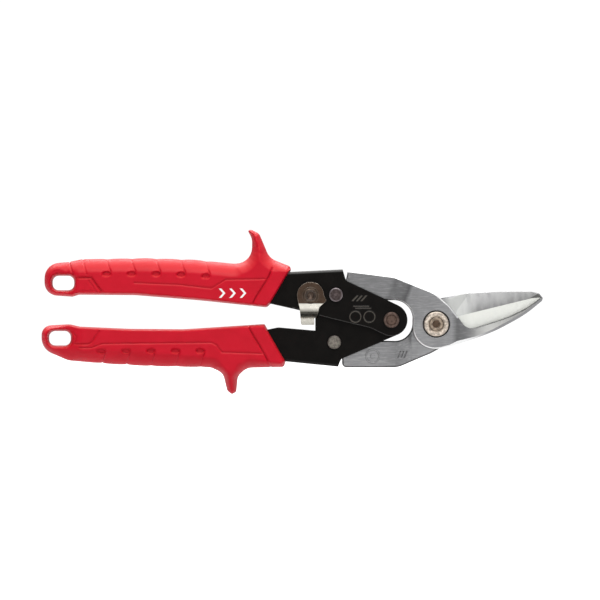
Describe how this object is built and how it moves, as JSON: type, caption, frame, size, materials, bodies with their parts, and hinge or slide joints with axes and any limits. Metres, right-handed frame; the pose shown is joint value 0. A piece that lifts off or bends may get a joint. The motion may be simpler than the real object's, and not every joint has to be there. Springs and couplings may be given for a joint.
{
  "type": "aviation snips",
  "caption": "Compound-lever sheet metal snips with short straight-topped blades, spurred grips and a turning latch; the jaws open through a link of levers.",
  "frame": {"origin": "on the main pivot's axis, in the plane where the two blades shear", "axes": "+X to the blade tips, +Z to the upper (thumb) handle, Y along the pivot axes with the front face looking along -Y"},
  "size_m": [0.2505, 0.0224, 0.0825],
  "materials": {
    "grip_red": "satin moulded elastomer, saturated red",
    "lever_black": "satin black coated sheet steel",
    "jaw_steel": "forged and ground, satin grey with bright cutting faces",
    "pivot_nickel": "warm nickel plate, turned",
    "washer_steel": "dark spring steel",
    "zinc_steel": "zinc plated",
    "nylon": "natural nylon",
    "spring_steel": "drawn wire",
    "rivet_steel": "dark satin rivet",
    "latch_metal": "plated, satin bright"
  },
  "bodies": {
    "front_jaw_body": {"front_jaw": "jaw_steel"},
    "rear_jaw_body": {"rear_jaw": "jaw_steel", "pivot_bolt": "pivot_nickel", "pivot_head_washer": "washer_steel", "pivot_wave_washer": "washer_steel", "pivot_nut": "zinc_steel", "pivot_nut_ring": "nylon", "return_spring": "spring_steel"},
    "upper_handle": {"upper_lever": "lever_black", "upper_grip": "grip_red", "upper_link_rivet": "rivet_steel", "handle_pivot_rivet": "rivet_steel", "handle_pivot_sleeve": "zinc_steel", "latch_rivet": "latch_metal", "latch_wave_washer": "washer_steel"},
    "lower_handle": {"lower_lever": "lever_black", "lower_grip": "grip_red", "lower_link_rivet": "rivet_steel"},
    "latch_body": {"latch": "latch_metal"}
  },
  "joints": [
    {"name": "jaw_open", "type": "hinge", "parent": "rear_jaw_body", "child": "front_jaw_body", "pos_m": [0, 0, 0], "axis": [0, 1, 0], "range_deg": [0, 15], "deforming": ["return_spring"]},
    {"name": "upper_handle_turn", "type": "hinge", "parent": "front_jaw_body", "child": "upper_handle", "pos_m": [-0.0501, 0, 0.0146], "axis": [0, 1, 0], "range_deg": [0, 7.2]},
    {"name": "lower_handle_turn", "type": "hinge", "parent": "rear_jaw_body", "child": "lower_handle", "pos_m": [-0.0509, 0, -0.0091], "axis": [0, 1, 0], "range_deg": [-5.9, 0]},
    {"name": "latch_turn", "type": "hinge", "parent": "upper_handle", "child": "latch_body", "pos_m": [-0.06275, 0, 0.01425], "axis": [0, 1, 0], "range_deg": [0, 15]}
  ],
  "couplings": [
    {"joint": "upper_handle_turn", "follows": "jaw_open", "ratio": 0.4757},
    {"joint": "lower_handle_turn", "follows": "jaw_open", "ratio": -0.3897}
  ]
}
